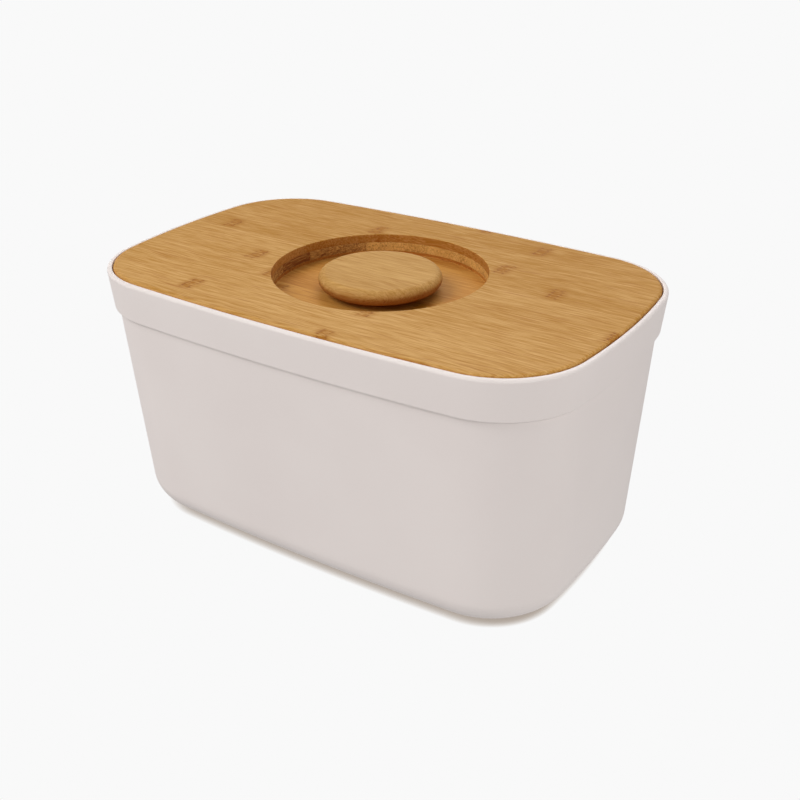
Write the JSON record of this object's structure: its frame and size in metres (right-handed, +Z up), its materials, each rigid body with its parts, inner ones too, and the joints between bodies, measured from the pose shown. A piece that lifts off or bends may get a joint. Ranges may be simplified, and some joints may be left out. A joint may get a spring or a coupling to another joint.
{
  "type": "bread bin",
  "caption": "Oblong bread bin: moulded off-white tub with a collar and ledge, closed by a lift-off bamboo lid with a knob in a sunken round recess.",
  "frame": {"origin": "under the middle of the tub, on the plane its feet stand on", "axes": "+Z up; X along the long sides; Y across, with -Y the long side towards the viewer"},
  "size_m": [0.355, 0.224, 0.182],
  "materials": {
    "melamine": "smooth satin off-white moulding",
    "silicone": "soft matte pads",
    "bamboo_top": "oiled, satin, fine grain along X with darker nodes",
    "bamboo_core": "oiled, satin, grain along Y, end grain on the long edges",
    "bamboo_bottom": "oiled, satin, fine grain along X",
    "bamboo_knob": "turned, oiled, satin, grain along X",
    "dowel_wood": "plain dowel"
  },
  "bodies": {
    "bin": {"tub": "melamine", "foot_front_left": "silicone", "foot_front_right": "silicone", "foot_back_left": "silicone", "foot_back_right": "silicone"},
    "lid": {"lid_bottom_ply": "bamboo_bottom", "lid_core_ply": "bamboo_core", "lid_top_ply": "bamboo_top", "knob": "bamboo_knob", "knob_dowel_left": "dowel_wood", "knob_dowel_right": "dowel_wood"}
  },
  "joints": [
    {"name": "lid_lift", "type": "slide", "parent": "bin", "child": "lid", "axis": [0, 0, 1], "range_m": [0, 0.15]}
  ]
}
